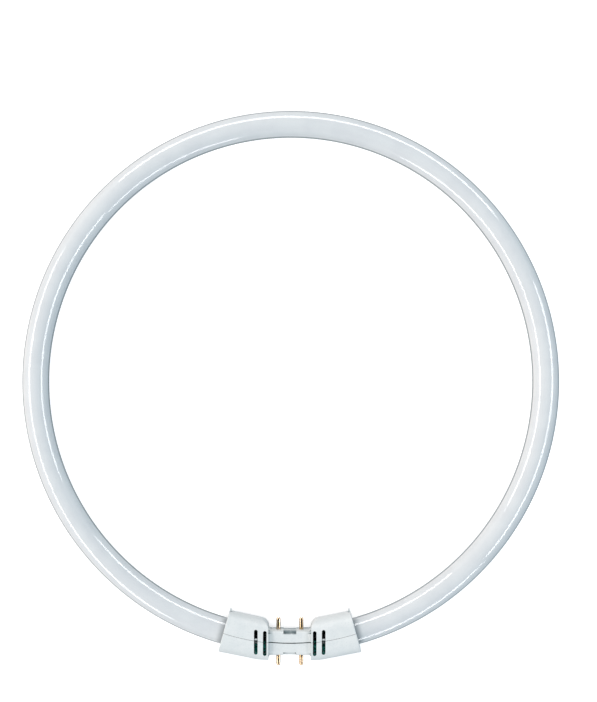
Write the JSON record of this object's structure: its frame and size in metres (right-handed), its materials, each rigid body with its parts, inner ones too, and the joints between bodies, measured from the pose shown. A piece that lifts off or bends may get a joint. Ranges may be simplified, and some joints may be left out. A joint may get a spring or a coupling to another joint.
{
  "type": "circular fluorescent tube",
  "caption": "Slim ring-shaped discharge lamp: white coated glass tube closed by a moulded cap with round contact pins on its inner and outer faces.",
  "frame": {"origin": "centre of the ring's crown arc, in the middle plane of the glass", "axes": "+Z along the ring's axis, +Y from the cap through the ring's centre, +X to the right seen from +Z with the cap below"},
  "size_m": [0.299, 0.3086, 0.0226],
  "materials": {
    "coated_glass": "glossy glass over a matt white coating",
    "cap_plastic": "fine matt moulded",
    "pin_brass": "bright turned",
    "lead_metal": "drawn wire"
  },
  "bodies": {
    "root": {"glass_tube": "coated_glass", "inner_cap_shell": "cap_plastic", "outer_cap_shell": "cap_plastic", "contact_pin_inner_right": "pin_brass", "contact_pin_inner_left": "pin_brass", "contact_pin_outer_right": "pin_brass", "contact_pin_outer_left": "pin_brass", "lead_wire_inner_right": "lead_metal", "lead_wire_inner_left": "lead_metal", "lead_wire_outer_right": "lead_metal", "lead_wire_outer_left": "lead_metal"}
  },
  "joints": []
}
